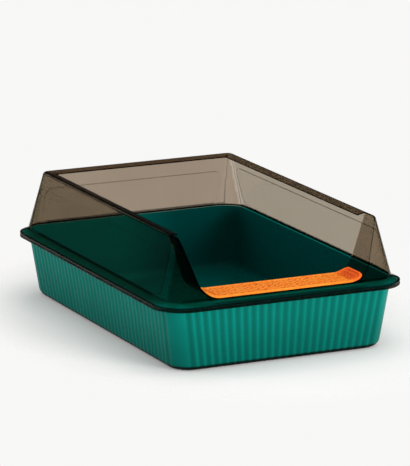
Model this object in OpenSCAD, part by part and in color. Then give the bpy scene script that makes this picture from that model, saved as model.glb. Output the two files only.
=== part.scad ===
// Cat litter box: a fluted open pan, a clear smoky splash guard that lifts off its rim, and an entry tread.
// Millimetres. X is the width, -Y the front with the entry, +Z up. The origin is the centre of the footprint.

/* [Footprint] */
// Width over the guard's skirt
box_w = 400; // [340:5:460]
// Depth over the guard's skirt
box_d = 576; // [480:4:640]
// Plan radius of the rim's corners
corner_r = 48; // [44:1:60]
// Wall thickness of the pan
pan_t = 2.6; // [2:0.1:3.4]
// Wall thickness of the guard and of its ledge
guard_t = 2.2; // [1.8:0.1:2.8]
// Clearance between pieces that lift off each other
fit_gap = 0.3; // [0.2:0.05:0.5]

/* [Pan] */
// Height of the pan up to the top of its rim
pan_h = 104.5; // [80:0.5:130]
// Width of the rim, from its outer edge to the outside of the wall
rim_w = 9.8; // [9:0.2:13]
// How much lower the rim's outer edge lies than its inner edge
rim_fall = 6.2; // [3:0.2:8]
// Height of the rim's turned-down edge
rim_edge_h = 3.2; // [2.8:0.2:3.4]
// Draft of the pan's long side walls, in degrees
side_draft = 8.2; // [4:0.2:10]
// Draft of the pan's end walls, in degrees
end_draft = 5; // [3:0.2:10]
// Outer radius along the bottom edge
bottom_r = 11; // [6:0.5:14]
// Inner radius round the floor
floor_r = 12; // [8:0.5:16]
// Radius where the inner wall turns into the rim
rim_r = 2.4; // [1.6:0.2:3.2]
// Width of the foot ring under the floor
foot_w = 18; // [12:1:30]
// Height of the foot ring
foot_h = 1.6; // [1:0.2:3]

/* [Flutes] */
// Spacing of the upright flutes
flute_pitch = 13.2; // [10:0.2:18]
// Depth of a flute
flute_depth = 1.5; // [0.8:0.1:2]
// Distance from the bend along the bottom edge up to the flutes' lower end
flute_low_gap = 1; // [0.5:0.5:4]
// Distance from the flutes' upper end up to the top of the rim
flute_top_gap = 14; // [12:0.5:18]
// Length over which a flute runs out at each end
flute_fade = 9; // [6:0.5:12]

/* [Guard] */
// Height of the guard above its flange
guard_h = 89.5; // [70:0.5:110]
// Width of the guard's flange, from the skirt to the foot of the wall
flange_w = 13; // [12:0.5:18]
// How far each side wall leans in over its height
side_lean = 24; // [14:0.5:28]
// How far the front and back walls lean in over their height
end_lean = 27; // [18:0.5:32]
// Plan radius of the guard's corners along the top edge
top_corner_r = 10; // [8:0.5:14]
// Radius of the bend from the wall to the top lip
top_bend_r = 4; // [3:0.5:6]
// Width of the lip that turns in along the top edge
lip_w = 17.5; // [10:0.5:22]
// How much lower the lip's free edge lies than the top edge
lip_drop = 3; // [2:0.5:5]
// Height of the skirt that hangs over the pan's rim
skirt_h = 6.4; // [6:0.2:8]
// Height of the flange's free edge, above the groove
edge_h = 1.4; // [1:0.1:2]
// Depth of the groove between the flange's edge and the bead
groove_d = 1.2; // [0.8:0.1:1.6]
// Height of the bead along the skirt's lower edge
bead_h = 2.4; // [2:0.2:3]
// Distance from the top edge down to the raised panel of the back wall
back_panel_drop = 31; // [20:1:40]
// Distance from the top edge down to the raised panels of the side walls
side_panel_drop = 23; // [18:1:40]
// How far a raised panel stands out from its wall
panel_out = 0.8; // [0.4:0.1:1.2]
// Radius of a panel's corners
panel_r = 14; // [6:1:20]
// Distance from a panel to the flange and to the rounded corners of the wall
panel_margin = 3; // [2:0.5:8]
// Radius of a snap bump
bump_r = 1.6; // [1.2:0.1:1.6]
// Distance of each snap bump from the middle of its side
snap_y = 130; // [90:2:160]

/* [Entry] */
// Width of the flat bottom of the U-shaped entry
entry_flat_w = 209; // [160:1:215]
// Radius of the entry's lower corners
entry_r = 35.5; // [26:0.5:40]
// Slope of the entry's sides from upright, in degrees
entry_slope = 18.3; // [10:0.1:19]
// Depth of the ledge and of the returns round the entry, from the foot of the front wall
ledge_d = 60; // [50:1:80]
// Thickness of the ledge and of the returns
ledge_t = 2; // [1.6:0.1:2.6]
// Height of the ledge above the guard's flange
ledge_rise = 0.6; // [0.4:0.1:2]

/* [Tread] */
// Depth of the tread from front to back
tread_d = 54; // [44:1:57]
// Distance of the tread's front edge behind the foot of the front wall
tread_setback = 1; // [0.5:0.5:3]
// Thickness of the tread
tread_t = 3.2; // [2.6:0.1:4]
// Angle through which each end of the tread curls up
curl_angle = 42; // [34:1:48]
// Plan radius of the tread's corners
tread_corner_r = 10; // [6:1:14]
// Width of the raised border round the tread
border_w = 3; // [2:0.5:5]
// Height of the raised border
border_h = 0.8; // [0.4:0.1:1.2]
// Number of slots in each curled end
slot_count = 7; // [3:1:8]
// Spacing of the slots along the curl
slot_pitch = 2.7; // [2.4:0.1:3]
// Width of a slot
slot_w = 1.3; // [1:0.1:1.6]
// Length of a slot, from front to back
slot_l = 34; // [16:1:36]
// Spacing of the dimples along the tread
dimple_pitch = 28; // [16:1:40]
// Spacing of the rows of dimples
dimple_row = 18; // [14:0.5:19]
// Radius of a dimple's rim
dimple_r = 2; // [1.4:0.1:2.4]
// Depth of a dimple
dimple_depth = 0.9; // [0.5:0.1:1.2]

/* [Hidden] */
PAN_COLOR = [0.04, 0.47, 0.42];
GUARD_COLOR = [0.36, 0.32, 0.29, 0.55];
TREAD_COLOR = [0.98, 0.48, 0.13];
// straight pieces in a rounded corner, and in a small bend
CORNER_STEPS = 12;
BEND_STEPS = 3;
FLOOR_STEPS = 5;
// one flute's four edges: position as a share of the pitch, then depth as a share of the full depth
FLUTE_EDGES = [[0.1, 0], [0.34, 0], [0.55, 1], [0.84, 1]];
// smallest plan radius of a ring of the pan, and of the guard
MIN_R = 4;
MIN_GUARD_R = 1;
// share of the flute's depth that is reached at a share of the way along its run-out
FADE_SHARE = 0.75;
FADE_STEP = 0.33;
// where the slots lie, as a share of the curl's angle
SLOT_SHARE = 0.52;
// how far a slot's tool reaches past the tread on each side
SLOT_PAST = 1;
// fillet under the pan's rim
RIM_FILLET = 1.5;
// thickness of the rim's turned-down edge, as a share of the wall's
EDGE_SHARE = 0.8;
// how far an edge is eased
EASE = 0.5;
// smoothness of arcs
$fn = 96;
// how far cutting tools reach past what they cut
PAST = 5;

// heights
flange_z = pan_h + fit_gap + guard_t;
ledge_z = flange_z + ledge_rise;
top_z = flange_z + guard_h;
edge_z = flange_z - rim_fall;
skirt_z = edge_z - skirt_h;
flute_low = bottom_r + flute_low_gap;
flute_high = pan_h - flute_top_gap;

// insets from the outline of the footprint
skirt_in = groove_d;
skirt_inner = skirt_in + guard_t;
rim_in = skirt_inner + fit_gap;
wall_top_in = rim_in + rim_w;
guard_foot_in = flange_w;
flange_slope = rim_fall / guard_foot_in;
front_foot_y = -box_d / 2 + guard_foot_in;
ledge_back_y = front_foot_y + ledge_d;

// straight lengths of the sides between the rounded corners
side_run_x = box_w - 2 * corner_r;
side_run_y = box_d - 2 * corner_r;

// insets of the outside of the pan's side and end walls at a height
function side_in(z) = wall_top_in + (pan_h - z) * tan(side_draft);
function end_in(z) = wall_top_in + (pan_h - z) * tan(end_draft);

// height of the underside of the guard's flange at an inset
function flange_under(inset) = edge_z + inset * flange_slope - guard_t;

// one ring of points at height z: a rounded rectangle inset from the footprint by ix and iy, with plan radius r
function ring(ix, iy, r, z) = [
    for (q = [0:3])
        let (sx = (q == 0 || q == 3) ? 1 : -1, sy = q < 2 ? 1 : -1)
        for (i = [0:CORNER_STEPS])
            let (a = 90 * (q + i / CORNER_STEPS))
            [sx * (box_w / 2 - ix - r) + r * cos(a), sy * (box_d / 2 - iy - r) + r * sin(a), z]
];

// a ring whose four sides stay parallel to the footprint's
function even_ring(inset, z) = ring(inset, inset, corner_r - inset, z);

// a ring set in from the outside of the pan's wall
function pan_ring(off, z) = ring(
    side_in(z) + off,
    end_in(z) + off,
    max(corner_r - wall_top_in - off, MIN_R),
    z
);

// number of flutes on the side that follows corner q
function flutes_on(q) = round((q % 2 == 0 ? side_run_x : side_run_y) / flute_pitch);

// number of points that the flutes add on the side that follows corner q
function flute_points(q) = 4 * flutes_on(q);

// one ring of points round the fluted wall, with grooves of the given depth
function fluted_ring(z, depth) = let (corners = pan_ring(0, z), n = CORNER_STEPS + 1) [
    for (q = [0:3])
        let (start = corners[q * n + CORNER_STEPS], end = corners[((q + 1) % 4) * n], count = flutes_on(q))
        let (along = (end - start) / count, outward = [along[1], -along[0], 0] / norm(along))
        each concat(
            [for (i = [0:CORNER_STEPS]) corners[q * n + i]],
            [for (k = [0:count - 1], e = FLUTE_EDGES)
                start + along * (k + e[0]) - outward * depth * e[1]]
        )
];

// index of the first point of corner q in a fluted ring
function fluted_start(q) = q == 0 ? 0 : fluted_start(q - 1) + CORNER_STEPS + 1 + flute_points(q - 1);

// triangles between two rings of n points that start at a and b
function band_faces(a, b, n) = [
    for (i = [0:n - 1])
        let (j = (i + 1) % n)
        each [[a + i, b + i, b + j], [a + i, b + j, a + j]]
];

// faces between a plain ring at a and a fluted ring at b; up is true where the fluted ring is the later one
function join_faces(a, b, up) = let (n = CORNER_STEPS + 1) [
    for (q = [0:3])
        let (pa = a + q * n, pb = b + fluted_start(q), next = (q + 1) % 4)
        let (side = concat(
            [pa + CORNER_STEPS],
            [for (i = [0:flute_points(q)]) pb + CORNER_STEPS + i],
            [b + fluted_start(next), a + next * n]
        ))
        each concat(
            [for (i = [0:CORNER_STEPS - 1]) each [
                turned([pa + i, pb + i, pb + i + 1], up),
                turned([pa + i, pb + i + 1, pa + i + 1], up)
            ]],
            [turned(side, up)]
        )
];

function turned(face, keep) = keep ? face : [for (i = [len(face) - 1:-1:0]) face[i]];

// running total of the first k ring sizes
function ring_start(sizes, k) = k == 0 ? 0 : ring_start(sizes, k - 1) + sizes[k - 1];

// quarter-bend points [inset, z] about a centre, between two angles
function bend(ci, cz, r, a0, a1, steps) = [
    for (i = [0:steps])
        let (a = a0 + (a1 - a0) * i / steps)
        [ci + r * cos(a), cz + r * sin(a)]
];

// offsets from the pan's wall and heights, from the middle of the underside up to the flutes
function pan_low_profile() = concat(
    [[bottom_r + foot_w + foot_h, foot_h], [bottom_r + foot_w, 0]],
    bend(bottom_r, bottom_r, bottom_r, 270, 180, FLOOR_STEPS)
);

// the pan's rim, from under its foot round its turned-down edge to its flat top: insets and heights
function pan_rim_profile() = let (
    top_z = flange_under(rim_in) - fit_gap,
    edge_in = rim_in + pan_t * EDGE_SHARE,
    drop = pan_t / cos(atan(flange_slope))
) [
    [edge_in, flange_under(edge_in) - fit_gap - drop],
    [edge_in, top_z - rim_edge_h],
    [rim_in, top_z - rim_edge_h],
    [rim_in, top_z],
    [guard_foot_in + guard_t, pan_h]
];

// offsets from the pan's wall and heights, from the rim's inner edge down to the floor
function pan_inner_profile() = let (
    inner_t = pan_t / cos(side_draft),
    floor_z = foot_h + pan_t
) concat(
    bend(inner_t, pan_h - rim_r, rim_r, 90, 0, BEND_STEPS),
    bend(inner_t + floor_r, floor_z + floor_r, floor_r, 180, 270, FLOOR_STEPS)
);

module litter_pan() {
    low = pan_low_profile();
    rim = pan_rim_profile();
    inner = pan_inner_profile();
    flutes = [
        [flute_low, 0],
        [flute_low + flute_fade * FADE_STEP, FADE_SHARE],
        [flute_low + flute_fade, 1],
        [flute_high - flute_fade, 1],
        [flute_high - flute_fade * FADE_STEP, FADE_SHARE],
        [flute_high, 0]
    ];
    plain_rings = concat(
        [pan_ring(0, rim[0][1] - RIM_FILLET)],
        [pan_ring(-RIM_FILLET, flange_under(wall_top_in - RIM_FILLET) - fit_gap - pan_t / cos(atan(flange_slope)))],
        [for (p = rim) even_ring(p[0], p[1])],
        [for (p = inner) pan_ring(p[0], p[1])]
    );
    plain_n = 4 * (CORNER_STEPS + 1);
    fluted_n = fluted_start(3) + CORNER_STEPS + 1 + flute_points(3);
    sizes = concat([for (p = low) plain_n], [for (f = flutes) fluted_n], [for (r = plain_rings) plain_n]);
    points = concat(
        [for (p = low) each pan_ring(p[0], p[1])],
        [for (f = flutes) each fluted_ring(f[0], flute_depth * f[1])],
        [for (r = plain_rings) each r]
    );
    first_fluted = len(low);
    last_fluted = len(low) + len(flutes) - 1;
    last = len(sizes) - 1;
    faces = concat(
        [[for (i = [0:plain_n - 1]) i]],
        [for (k = [0:last - 1]) each
            k == first_fluted - 1
                ? join_faces(ring_start(sizes, k), ring_start(sizes, k + 1), true)
            : k == last_fluted
                ? join_faces(ring_start(sizes, k + 1), ring_start(sizes, k), false)
            : band_faces(ring_start(sizes, k), ring_start(sizes, k + 1), sizes[k])],
        [[for (i = [plain_n - 1:-1:0]) ring_start(sizes, last) + i]]
    );
    color(PAN_COLOR)
        polyhedron(points, faces, convexity = 6);
}

// plan radius of the guard's wall at a share of its height
function guard_r(share) = (corner_r - guard_foot_in) * (1 - share) + top_corner_r * share;

// ring of the guard's wall surface at a height, set in by extra
function wall_ring(z, extra) = let (share = (z - flange_z) / guard_h) ring(
    guard_foot_in + side_lean * share + extra,
    guard_foot_in + end_lean * share + extra,
    max(guard_r(share) - extra, MIN_GUARD_R),
    z
);

// insets and heights round the bend from the wall to the lip, at a depth under the outside
function top_bend(depth) = bend(top_bend_r, top_z - top_bend_r, top_bend_r - depth, 180, 90, BEND_STEPS);

// rings of the guard's closed section: up the outside, over the lip, down the inside and round the skirt
function guard_rings() = let (
    bead_z = skirt_z + bead_h,
    lip_edge_z = top_z - lip_drop,
    half = guard_t / 2,
    inner_bend = top_bend(guard_t)
) concat(
    [
        even_ring(EASE, skirt_z),
        even_ring(0, skirt_z + EASE),
        even_ring(0, bead_z - EASE),
        even_ring(skirt_in, bead_z),
        even_ring(skirt_in, edge_z - edge_h),
        even_ring(EASE, edge_z - edge_h),
        even_ring(0, edge_z - edge_h + EASE),
        even_ring(EASE, edge_z + EASE * flange_slope),
        even_ring(guard_foot_in - half, flange_z - half * flange_slope),
        wall_ring(flange_z + half, 0)
    ],
    [for (p = top_bend(0)) wall_ring(p[1], p[0])],
    [
        wall_ring(lip_edge_z + EASE, lip_w - EASE),
        wall_ring(lip_edge_z, lip_w),
        wall_ring(lip_edge_z - guard_t + EASE, lip_w - EASE)
    ],
    [for (k = [BEND_STEPS:-1:0]) wall_ring(inner_bend[k][1], inner_bend[k][0])],
    [
        wall_ring(flange_z - guard_t, guard_t),
        even_ring(skirt_inner, flange_under(skirt_inner)),
        even_ring(skirt_inner, skirt_z + EASE),
        even_ring(skirt_inner - EASE, skirt_z)
    ]
);

module guard_shell() {
    rings = guard_rings();
    n = len(rings[0]);
    polyhedron(
        [for (r = rings) each r],
        [for (k = [0:len(rings) - 1]) each band_faces(k * n, ((k + 1) % len(rings)) * n, n)],
        convexity = 8
    );
}

// solid bounded by the middle of the guard's wall, from below the flange up to the middle of the lip
module guard_core() {
    mid = guard_t / 2;
    rings = concat(
        [wall_ring(flange_z - 2 * guard_t, mid)],
        [for (p = top_bend(mid)) wall_ring(p[1], p[0])]
    );
    n = len(rings[0]);
    polyhedron(
        [for (r = rings) each r],
        concat(
            [[for (i = [0:n - 1]) i]],
            [for (k = [0:len(rings) - 2]) each band_faces(k * n, (k + 1) * n, n)],
            [[for (i = [n - 1:-1:0]) (len(rings) - 1) * n + i]]
        ),
        convexity = 4
    );
}

// front view of the open entry, grown outwards by the given amount
module entry_outline(grow) {
    r = entry_r + grow;
    cx = entry_flat_w / 2;
    cz = ledge_z + entry_r;
    tx = cx + r * cos(entry_slope);
    tz = cz - r * sin(entry_slope);
    rise = top_z + PAST - tz;
    half_top = tx + rise * tan(entry_slope);
    translate([-cx, cz - r])
        square([2 * cx, r]);
    for (side = [-1, 1])
        translate([side * cx, cz])
            circle(r);
    polygon([[-cx, cz], [-tx, tz], [-half_top, tz + rise], [half_top, tz + rise], [tx, tz], [cx, cz]]);
}

// turns a front view into a solid between two depths
module through(y_from, y_to) {
    translate([0, y_to, 0])
        rotate([90, 0, 0])
            linear_extrude(y_to - y_from)
                children();
}

// block that becomes the ledge and the returns once the entry is cut through it
module entry_block() {
    intersection() {
        through(-box_d / 2, ledge_back_y)
            entry_outline(ledge_t);
        guard_core();
    }
}

// panel raised on a leaning wall: its foot runs through the origin along X, and the wall leans towards +Y
module raised_panel(half_l, drop, lean) {
    slope = atan(lean / guard_h);
    low = panel_margin / cos(slope);
    high = (guard_h - drop) / cos(slope);
    rotate([90 - slope, 0, 0])
        translate([0, (low + high) / 2, -guard_t / 2])
            linear_extrude(guard_t / 2 + panel_out)
                rounded_panel(half_l, (high - low) / 2);
}

// outline of a panel with rounded corners, made of straight pieces
module rounded_panel(half_l, half_h) {
    polygon([
        for (q = [0:3], i = [0:CORNER_STEPS])
            let (sx = (q == 0 || q == 3) ? 1 : -1, sy = q < 2 ? 1 : -1, a = 90 * (q + i / CORNER_STEPS))
            [sx * (half_l - panel_r) + panel_r * cos(a), sy * (half_h - panel_r) + panel_r * sin(a)]
    ]);
}

// the raised panels of the back wall and of the two side walls
module raised_panels() {
    rotate([0, 0, 180])
        translate([0, front_foot_y, flange_z])
            raised_panel(side_run_x / 2 - panel_margin, back_panel_drop, end_lean);
    for (side = [-1, 1])
        rotate([0, 0, side * 90])
            translate([0, -box_w / 2 + guard_foot_in, flange_z])
                raised_panel(side_run_y / 2 - panel_margin, side_panel_drop, side_lean);
}

module snap_bump(side, y) {
    translate([side * (box_w / 2 - bump_r), y, skirt_z + bead_h + EASE])
        sphere(r = bump_r);
}

module splash_guard() {
    color(GUARD_COLOR)
        difference() {
            union() {
                guard_shell();
                entry_block();
                raised_panels();
                for (side = [-1, 1], y = [-snap_y, snap_y])
                    snap_bump(side, y);
            }
            through(-box_d / 2 - PAST, ledge_back_y + ledge_t / 4)
                entry_outline(0);
        }
}

tread_front_y = front_foot_y + tread_setback;
tread_mid_y = tread_front_y + tread_d / 2;
tread_z = ledge_z + fit_gap;
arc_x = entry_flat_w / 2;
arc_z = ledge_z + entry_r;
arc_r = entry_r - fit_gap;
tread_half_l = arc_x + arc_r * sin(curl_angle);
// angle between two slots
slot_step = slot_pitch / arc_r * 180 / PI;

// front view of a strip that follows the entry's bottom, between two depths below the tread's upper side
module tread_strip(from, to) {
    inner = arc_r - tread_t;
    translate([-arc_x, arc_z - inner - to])
        square([2 * arc_x, to - from]);
    for (side = [0, 1])
        mirror([side, 0])
            intersection() {
                translate([arc_x, arc_z])
                    difference() {
                        circle(inner + to);
                        circle(inner + from);
                    }
                translate([arc_x, arc_z])
                    polygon([[0, 0], [0, -2 * entry_r],
                        [2 * entry_r * sin(curl_angle), -2 * entry_r * cos(curl_angle)]]);
            }
}

// plan of the tread, set in by the given amount
module tread_plan(inset) {
    r = tread_corner_r - inset;
    hx = tread_half_l - inset;
    hy = tread_d / 2 - inset;
    translate([0, tread_mid_y, tread_z - PAST])
        linear_extrude(entry_r + PAST) {
            square([2 * hx, 2 * (hy - r)], center = true);
            square([2 * (hx - r), 2 * hy], center = true);
            for (sx = [-1, 1], sy = [-1, 1])
                translate([sx * (hx - r), sy * (hy - r)])
                    circle(r);
        }
}

// a slot with round ends that runs from front to back, cut square to the curled end at an angle of the curl
module tread_slot(side, angle) {
    reach = (slot_l - slot_w) / 2;
    depth = tread_t + 2 * SLOT_PAST;
    translate([side * arc_x, tread_mid_y, arc_z])
        rotate([0, -side * angle, 0])
            translate([0, 0, -entry_r - SLOT_PAST]) {
                translate([-slot_w / 2, -reach, 0])
                    cube([slot_w, 2 * reach, depth]);
                for (end = [-reach, reach])
                    translate([0, end, 0])
                        cylinder(h = depth, d = slot_w);
            }
}

// rows of shallow dimples, every second row moved by half a pitch
module tread_dimples() {
    ball_r = (dimple_r * dimple_r + dimple_depth * dimple_depth) / (2 * dimple_depth);
    reach = arc_x - dimple_r;
    top = tread_z + tread_t - border_h;
    for (row = [-1:1]) {
        shift = row == 0 ? dimple_pitch / 2 : 0;
        count = floor((reach - shift) / dimple_pitch);
        for (k = [-count - (row == 0 ? 1 : 0):count])
            translate([k * dimple_pitch + shift, tread_mid_y + row * dimple_row, top + ball_r - dimple_depth])
                rotate([90, 0, 0])
                    sphere(ball_r);
    }
}

module entry_tread() {
    color(TREAD_COLOR)
        difference() {
            intersection() {
                through(tread_front_y, tread_front_y + tread_d)
                    tread_strip(0, tread_t);
                tread_plan(0);
            }
            intersection() {
                through(tread_front_y, tread_front_y + tread_d)
                    tread_strip(-1, border_h);
                tread_plan(border_w);
            }
            for (side = [-1, 1], k = [0:slot_count - 1])
                tread_slot(side, curl_angle * SLOT_SHARE + (k - (slot_count - 1) / 2) * slot_step);
            tread_dimples();
        }
}

litter_pan();
splash_guard();
entry_tread();
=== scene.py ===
import math

import bmesh
import bpy
from bpy.props import FloatProperty, FloatVectorProperty, IntProperty, PointerProperty
from mathutils import Matrix, Vector


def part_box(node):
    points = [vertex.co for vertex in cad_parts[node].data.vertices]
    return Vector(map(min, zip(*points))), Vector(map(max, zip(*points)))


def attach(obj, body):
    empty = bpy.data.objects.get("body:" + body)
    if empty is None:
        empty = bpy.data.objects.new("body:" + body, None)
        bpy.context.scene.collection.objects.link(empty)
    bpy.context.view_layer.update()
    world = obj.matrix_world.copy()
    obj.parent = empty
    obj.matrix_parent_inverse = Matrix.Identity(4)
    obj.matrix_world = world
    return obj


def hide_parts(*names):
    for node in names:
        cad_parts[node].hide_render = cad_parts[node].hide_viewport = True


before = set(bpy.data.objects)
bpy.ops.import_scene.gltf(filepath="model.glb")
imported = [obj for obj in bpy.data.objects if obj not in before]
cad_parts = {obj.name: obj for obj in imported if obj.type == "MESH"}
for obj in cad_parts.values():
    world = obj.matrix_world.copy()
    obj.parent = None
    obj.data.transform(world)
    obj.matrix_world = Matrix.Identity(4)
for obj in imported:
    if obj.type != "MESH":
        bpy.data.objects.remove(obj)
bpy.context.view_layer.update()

bl_info = {
    "name": "Cat Litter Box",
    "version": (1, 0, 0),
    "blender": (4, 5, 0),
    "location": "3D View > Sidebar > Litter Box",
    "description": "Builds a fluted litter pan, its clear splash guard and its entry tread",
    "category": "Add Mesh",
}

PAN_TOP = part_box("litter_pan")[1][2]
HALF_W, HALF_D, GUARD_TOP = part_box("splash_guard")[1]
TREAD_LOW, TREAD_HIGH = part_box("entry_tread")

# sizes that more than one piece takes
PIECE_GAP = 0.0003
CORNER_RADIUS = 0.048
RIM_FALL = 0.0062
FLANGE_WIDTH = 0.013
GUARD_WALL = 0.0022
GUARD_GROOVE = 0.0012


# ---------------------------------------------------------------- sizes and colours

def length(name, description, default, low=0.0, high=1.0):
    """Setting in metres."""
    return FloatProperty(name=name, description=description, default=default, min=low, max=high,
                         subtype="DISTANCE", unit="LENGTH", precision=4)


def angle(name, description, degrees):
    """Setting that is given in degrees and kept in radians."""
    return FloatProperty(name=name, description=description, default=math.radians(degrees),
                         min=0.0, max=math.radians(45), subtype="ANGLE", unit="ROTATION")


def share(name, description, default):
    """Setting from 0 to 1."""
    return FloatProperty(name=name, description=description, default=default, min=0.0, max=1.0,
                         subtype="FACTOR")


def colour(name, description, default):
    """Setting for a linear colour."""
    return FloatVectorProperty(name=name, description=description, default=default, size=3,
                               min=0.0, max=1.0, subtype="COLOR")


class PanSettings(bpy.types.PropertyGroup):
    """Sizes and colours of the fluted pan"""
    corner_radius: length("Corner Radius", "Plan radius of the rim's corners", CORNER_RADIUS)
    wall_inset: length("Wall Inset", "From the outline to the outside of the wall at the rim", 0.0135)
    wall_thickness: length("Wall Thickness", "Thickness of the pan's wall", 0.0026)
    rim_fall: length("Rim Fall", "How much lower the rim's outer edge lies", RIM_FALL)
    side_draft: angle("Side Draft", "Draft of the long side walls", 8.2)
    end_draft: angle("End Draft", "Draft of the end walls", 5.0)
    bottom_radius: length("Bottom Radius", "Outer radius along the bottom edge", 0.011)
    floor_radius: length("Floor Radius", "Inner radius round the floor", 0.012)
    foot_width: length("Foot Width", "Width of the foot ring", 0.018)
    foot_height: length("Foot Height", "Height of the foot ring", 0.0016)
    flute_pitch: length("Flute Pitch", "Spacing of the flutes", 0.0132, 0.004)
    flute_depth: length("Flute Depth", "Depth of a flute", 0.0015)
    flute_high_gap: length("Flute High Gap", "From the flutes' upper end up to the rim", 0.0085)
    flute_fade: length("Flute Fade", "Length over which a flute runs out", 0.0045)
    body: colour("Body Colour", "Teal green plastic", (0.0004, 0.241, 0.194))
    deep: colour("Deep Colour", "Slightly darker patches in the plastic", (0.0002, 0.219, 0.175))
    # painted shade: darker teal where shade falls in the flutes' hollows
    hollow_shade: colour("Flute Colour", "Colour in the hollows of the flutes", (0.0, 0.135, 0.104))
    # painted shade: the pan's inner side is coloured dark for the shade inside it; its left half and its
    # floor get painted light
    inside: colour("Inside Colour", "Colour of the pan's inner side", (0.0, 0.040, 0.036))
    inside_left_light: share("Inside Fade", "How much paler the inner side's left half is", 0.30)
    pan_floor_light: share("Floor Fade", "How much paler the floor is than the inner walls", 0.14)
    # painted light: the rim under the guard is coloured paler and bluer than the body, palest at the
    # corners
    rim: colour("Rim Colour", "Colour of the rim under the guard", (0.001, 0.36, 0.36))
    # painted shade: darker towards the wall's foot and at its corners, with a near-black painted contact
    # shadow along the lowest edge
    low_shade: share("Low Shade", "How much darker the wall gets towards its foot", 0.34)
    corner_shade: share("Corner Shade", "How much darker the wall is at its corners", 0.12)
    contact_shade: colour("Foot Colour", "Colour of the lowest edge", (0.0, 0.004, 0.003))


class GuardSettings(bpy.types.PropertyGroup):
    """Sizes and colours of the splash guard"""
    corner_radius: length("Corner Radius", "Plan radius of the skirt's corners", CORNER_RADIUS)
    wall_thickness: length("Wall Thickness", "Thickness of the wall and the flange", GUARD_WALL)
    height: length("Height", "Height above the flange", 0.0895)
    flange_width: length("Flange Width", "From the skirt to the foot of the wall", FLANGE_WIDTH)
    rim_fall: length("Rim Fall", "How much lower the flange's outer edge lies", RIM_FALL)
    crest: length("Crest", "Width of the flange's outer strip", 0.0068)
    side_lean: length("Side Lean", "How far each side wall leans in", 0.024)
    end_lean: length("End Lean", "How far the front and back walls lean in", 0.027)
    top_corner_radius: length("Top Corner Radius", "Plan radius of the corners at the top", 0.010)
    bend_radius: length("Bend Radius", "Radius of the bend from the wall to the lip", 0.004)
    lip_width: length("Lip Width", "Width of the lip along the top", 0.0175)
    lip_drop: length("Lip Drop", "How much lower the lip's free edge lies", 0.003)
    skirt_height: length("Skirt Height", "Height of the skirt", 0.0064)
    edge_height: length("Edge Height", "Height of the flange's free edge", 0.0014)
    groove_depth: length("Groove Depth", "Depth of the groove above the bead", GUARD_GROOVE)
    bead_height: length("Bead Height", "Height of the bead", 0.0024)
    entry_flat: length("Entry Flat", "Width of the entry's flat bottom", 0.209)
    entry_radius: length("Entry Radius", "Radius of the entry's lower corners", 0.0355)
    entry_slope: angle("Entry Slope", "Slope of the entry's sides from upright", 18.3)
    ledge_depth: length("Ledge Depth", "Depth of the ledge and the returns", 0.060)
    ledge_thickness: length("Ledge Thickness", "Thickness of the ledge and the returns", 0.002)
    ledge_rise: length("Ledge Rise", "Height of the ledge above the flange", 0.0006)
    back_panel_drop: length("Back Panel Drop", "From the top down to the back wall's panel", 0.031)
    side_panel_drop: length("Side Panel Drop", "From the top down to the side walls' panels", 0.023)
    panel_out: length("Panel Relief", "How far a panel stands out", 0.0008)
    panel_radius: length("Panel Radius", "Radius of a panel's corners", 0.014)
    panel_margin: length("Panel Margin", "From a panel to the flange and the corners", 0.003)
    tint: colour("Tint", "Colour of the surface", (0.60, 0.48, 0.395))
    tint_dark: colour("Dark Tint", "Slightly darker patches", (0.57, 0.45, 0.37))
    # painted light: the right half's walls get a paler tint than the rest of the guard
    right_side_light: colour("Pale Tint", "Colour of the surface of the right wall", (0.86, 0.75, 0.67))
    # painted light: the left wall, the middle of the flange's front and the flange's corners are tinted
    # clearer
    clear: colour("Clear Tint", "Colour of the surface of the left wall", (0.97, 0.94, 0.89))
    # painted shade: near-black colour of the guard's edges, return, foot line, panel steps and skirt
    edge_shade_tint: colour("Edge Tint", "Colour of the edges, seen through their length", (0.02, 0.025, 0.022))
    depth_tint: colour("Depth Tint", "Smoky colour that the thickness takes on", (0.623, 0.616, 0.554))
    density: FloatProperty(name="Density", description="How fast the thickness takes on its colour",
                           default=560.0, min=0.0, max=5000.0)


class TreadSettings(bpy.types.PropertyGroup):
    """Sizes and colours of the entry tread"""
    flat: length("Flat Length", "Length of the flat part", 0.209)
    curl: angle("Curl Angle", "Angle through which each end curls up", 42.0)
    middle: length("Middle", "Depth at which the tread's middle lies", -0.247, -1.0)
    thickness: length("Thickness", "Thickness at the border", 0.0032)
    corner_radius: length("Corner Radius", "Plan radius of the corners", 0.010)
    border_width: length("Border Width", "Width of the raised border", 0.003)
    border_height: length("Border Height", "Height of the raised border", 0.0008)
    relief: length("Relief", "Height of the wavy relief", 0.00030)
    grain: length("Grain", "Spacing of the mesh that carries the relief", 0.0010, 0.0004)
    dimple_pitch: length("Dimple Pitch", "Spacing of the dimples along a row", 0.028, 0.004)
    dimple_row: length("Dimple Row", "Spacing of the rows", 0.018)
    dimple_radius: length("Dimple Radius", "Radius of a dimple", 0.0029)
    dimple_depth: length("Dimple Depth", "Depth of a dimple", 0.0009)
    slot_pitch: length("Slot Pitch", "Spacing of the slots along the curl", 0.0030)
    slot_width: length("Slot Width", "Width of a slot", 0.0011)
    slot_length: length("Slot Length", "Length of a slot from front to back", 0.034)
    slot_count: IntProperty(name="Slots", description="Number of slots in each curled end", default=7,
                            min=1, max=11)
    slot_place: share("Slot Place", "Where along the curl the middle slot lies", 0.52)
    body: colour("Body Colour", "Orange plastic", (1.0, 0.235, 0.014))
    light: colour("Light Colour", "Lighter patches", (1.0, 0.31, 0.032))
    # painted shade: the relief's hollows, the dimples and the slots are coloured darker
    hollow_shade: colour("Hollow Colour", "Colour in the hollows of the relief", (0.46, 0.028, 0.002))
    # painted shade: the curled ends are coloured redder and darker than the flat
    curled: colour("Curled End Colour", "Redder orange of the curled ends", (1.0, 0.15, 0.012))


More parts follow.
